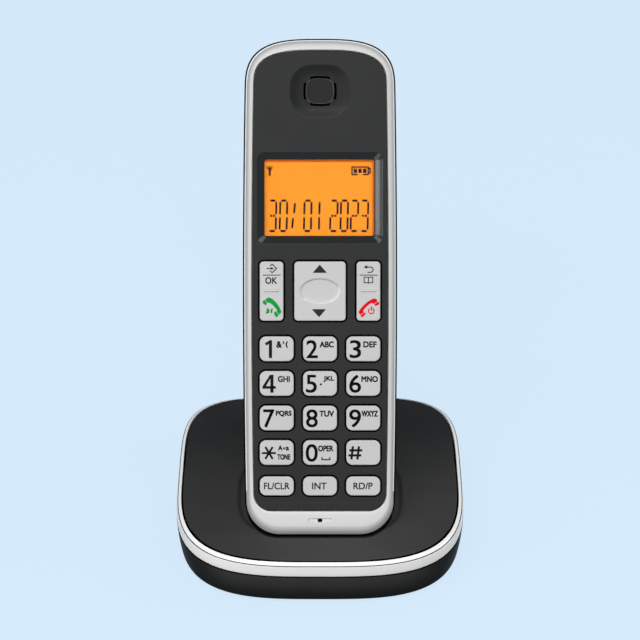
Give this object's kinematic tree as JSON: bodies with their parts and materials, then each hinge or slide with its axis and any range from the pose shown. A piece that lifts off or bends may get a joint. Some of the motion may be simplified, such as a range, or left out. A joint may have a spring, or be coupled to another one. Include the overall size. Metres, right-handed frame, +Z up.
{
  "type": "cordless phone with charging base",
  "caption": "Slim cordless phone handset with display, rocker keys and dial keys, leaning in the pocket of a low squircle charging base with a silver rim.",
  "frame": {"origin": "on the surface the base stands on, below the middle of the whole phone", "axes": "+Z up, -Y towards the user who faces the keys, +X to that user's right"},
  "size_m": [0.0932, 0.112, 0.151],
  "materials": {
    "black_shell": "fine satin moulded plastic",
    "silver_trim": "satin silver paint on moulded plastic",
    "key_caps": "light grey satin plastic",
    "clear_window": "clear polished plastic",
    "display_glow": "orange lit display",
    "mat_rubber": "dark rubber",
    "board_green": "green solder mask",
    "steel_parts": "plated steel",
    "cell_wrap": "plain printed sleeve",
    "gold_contacts": "gold plated contacts"
  },
  "bodies": {
    "base": {"base_top_cover": "black_shell", "base_rim_ring": "silver_trim", "base_bottom_cover": "black_shell", "base_board": "board_green", "line_socket": "black_shell", "power_socket": "black_shell", "base_foot_1": "mat_rubber", "base_foot_2": "mat_rubber", "base_foot_3": "mat_rubber", "base_foot_4": "mat_rubber", "base_screw_1": "steel_parts", "base_screw_2": "steel_parts", "base_screw_3": "steel_parts", "base_screw_4": "steel_parts"},
    "handset": {"handset_rear_cover": "black_shell", "handset_frame": "silver_trim", "handset_front_cover": "black_shell", "display_window": "clear_window", "display_module": "display_glow", "keypad_mat": "mat_rubber", "handset_board": "board_green", "earpiece_speaker": "steel_parts", "ringer_speaker": "steel_parts", "microphone": "steel_parts", "battery_cell_left": "cell_wrap", "battery_cell_right": "cell_wrap", "battery_terminal_left": "steel_parts", "battery_terminal_right": "steel_parts", "battery_bridge": "steel_parts", "handset_screw_left": "steel_parts", "handset_screw_right": "steel_parts", "charge_pad_left": "gold_contacts", "charge_pad_right": "gold_contacts"},
    "key_1": {"key_1": "key_caps"},
    "key_2": {"key_2": "key_caps"},
    "key_3": {"key_3": "key_caps"},
    "key_4": {"key_4": "key_caps"},
    "key_5": {"key_5": "key_caps"},
    "key_6": {"key_6": "key_caps"},
    "key_7": {"key_7": "key_caps"},
    "key_8": {"key_8": "key_caps"},
    "key_9": {"key_9": "key_caps"},
    "key_star": {"key_star": "key_caps"},
    "key_0": {"key_0": "key_caps"},
    "key_hash": {"key_hash": "key_caps"},
    "key_flash": {"key_flash": "key_caps"},
    "key_intercom": {"key_intercom": "key_caps"},
    "key_redial": {"key_redial": "key_caps"},
    "talk_rocker_key": {"talk_rocker_key": "key_caps"},
    "navigation_key": {"navigation_key": "key_caps"},
    "end_rocker_key": {"end_rocker_key": "key_caps"},
    "battery_door": {"battery_door": "black_shell"},
    "page_button": {"page_button": "key_caps"},
    "charge_contact_left": {"charge_contact_left": "gold_contacts"},
    "charge_contact_right": {"charge_contact_right": "gold_contacts"}
  },
  "joints": [
    {"name": "handset_lift", "type": "slide", "parent": "base", "child": "handset", "axis": [0, 0.5, 0.866], "range_m": [0, 0.08]},
    {"name": "key_1_press", "type": "slide", "parent": "handset", "child": "key_1", "axis": [0, 0.866, -0.5], "range_m": [0, 0.0008], "stiffness_N_per_m": 250},
    {"name": "key_2_press", "type": "slide", "parent": "handset", "child": "key_2", "axis": [0, 0.866, -0.5], "range_m": [0, 0.0008], "stiffness_N_per_m": 250},
    {"name": "key_3_press", "type": "slide", "parent": "handset", "child": "key_3", "axis": [0, 0.866, -0.5], "range_m": [0, 0.0008], "stiffness_N_per_m": 250},
    {"name": "key_4_press", "type": "slide", "parent": "handset", "child": "key_4", "axis": [0, 0.866, -0.5], "range_m": [0, 0.0008], "stiffness_N_per_m": 250},
    {"name": "key_5_press", "type": "slide", "parent": "handset", "child": "key_5", "axis": [0, 0.866, -0.5], "range_m": [0, 0.0008], "stiffness_N_per_m": 250},
    {"name": "key_6_press", "type": "slide", "parent": "handset", "child": "key_6", "axis": [0, 0.866, -0.5], "range_m": [0, 0.0008], "stiffness_N_per_m": 250},
    {"name": "key_7_press", "type": "slide", "parent": "handset", "child": "key_7", "axis": [0, 0.866, -0.5], "range_m": [0, 0.0008], "stiffness_N_per_m": 250},
    {"name": "key_8_press", "type": "slide", "parent": "handset", "child": "key_8", "axis": [0, 0.866, -0.5], "range_m": [0, 0.0008], "stiffness_N_per_m": 250},
    {"name": "key_9_press", "type": "slide", "parent": "handset", "child": "key_9", "axis": [0, 0.866, -0.5], "range_m": [0, 0.0008], "stiffness_N_per_m": 250},
    {"name": "key_star_press", "type": "slide", "parent": "handset", "child": "key_star", "axis": [0, 0.866, -0.5], "range_m": [0, 0.0008], "stiffness_N_per_m": 250},
    {"name": "key_0_press", "type": "slide", "parent": "handset", "child": "key_0", "axis": [0, 0.866, -0.5], "range_m": [0, 0.0008], "stiffness_N_per_m": 250},
    {"name": "key_hash_press", "type": "slide", "parent": "handset", "child": "key_hash", "axis": [0, 0.866, -0.5], "range_m": [0, 0.0008], "stiffness_N_per_m": 250},
    {"name": "key_flash_press", "type": "slide", "parent": "handset", "child": "key_flash", "axis": [0, 0.866, -0.5], "range_m": [0, 0.0008], "stiffness_N_per_m": 250},
    {"name": "key_intercom_press", "type": "slide", "parent": "handset", "child": "key_intercom", "axis": [0, 0.866, -0.5], "range_m": [0, 0.0008], "stiffness_N_per_m": 250},
    {"name": "key_redial_press", "type": "slide", "parent": "handset", "child": "key_redial", "axis": [0, 0.866, -0.5], "range_m": [0, 0.0008], "stiffness_N_per_m": 250},
    {"name": "talk_rocker_key_rock", "type": "hinge", "parent": "handset", "child": "talk_rocker_key", "pos_m": [-0.01525, 0.00071, 0.08135], "axis": [1, 0, 0], "range_deg": [-3, 3], "stiffness_Nm_per_rad": 0.05},
    {"name": "navigation_key_rock", "type": "hinge", "parent": "handset", "child": "navigation_key", "pos_m": [0, 0.00071, 0.08135], "axis": [1, 0, 0], "range_deg": [-3, 3], "stiffness_Nm_per_rad": 0.05},
    {"name": "end_rocker_key_rock", "type": "hinge", "parent": "handset", "child": "end_rocker_key", "pos_m": [0.01525, 0.00071, 0.08135], "axis": [1, 0, 0], "range_deg": [-3, 3], "stiffness_Nm_per_rad": 0.05},
    {"name": "battery_door_pull", "type": "slide", "parent": "handset", "child": "battery_door", "axis": [0, 0.866, -0.5], "range_m": [0, 0.015]},
    {"name": "page_button_press", "type": "slide", "parent": "base", "child": "page_button", "axis": [0, -1, 0], "range_m": [0, 0.0008], "stiffness_N_per_m": 250},
    {"name": "charge_contact_left_press", "type": "slide", "parent": "base", "child": "charge_contact_left", "axis": [0, 0, -1], "range_m": [0, 0.0006], "stiffness_N_per_m": 200},
    {"name": "charge_contact_right_press", "type": "slide", "parent": "base", "child": "charge_contact_right", "axis": [0, 0, -1], "range_m": [0, 0.0006], "stiffness_N_per_m": 200}
  ]
}
